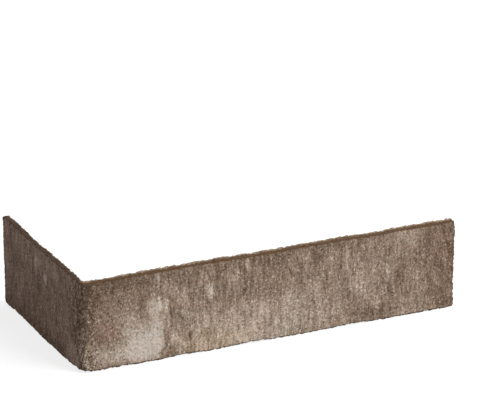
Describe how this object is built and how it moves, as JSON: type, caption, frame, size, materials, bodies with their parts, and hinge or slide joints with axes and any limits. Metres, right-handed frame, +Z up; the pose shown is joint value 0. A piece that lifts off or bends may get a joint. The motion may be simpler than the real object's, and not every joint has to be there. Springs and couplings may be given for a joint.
{
  "type": "corner stone cladding strip",
  "caption": "Thin sand-faced cast stone cladding strip folded into an L, glued round the outer corner of a wall to face both sides of it.",
  "frame": {"origin": "on the floor, under the middle of the box round the strip, with the strip standing on its lower long edge", "axes": "+X along the long leg from the folded corner to its end, +Y along the short leg from the corner to its end, +Z up the strip's height; the front faces look towards -Y and -X"},
  "size_m": [0.24, 0.12, 0.056],
  "materials": {
    "cast_stone": "matt sandy cast face in mottled taupe, brown and pale grey with faint upright drag streaks"
  },
  "bodies": {
    "root": {"corner_strip": "cast_stone"}
  },
  "joints": []
}
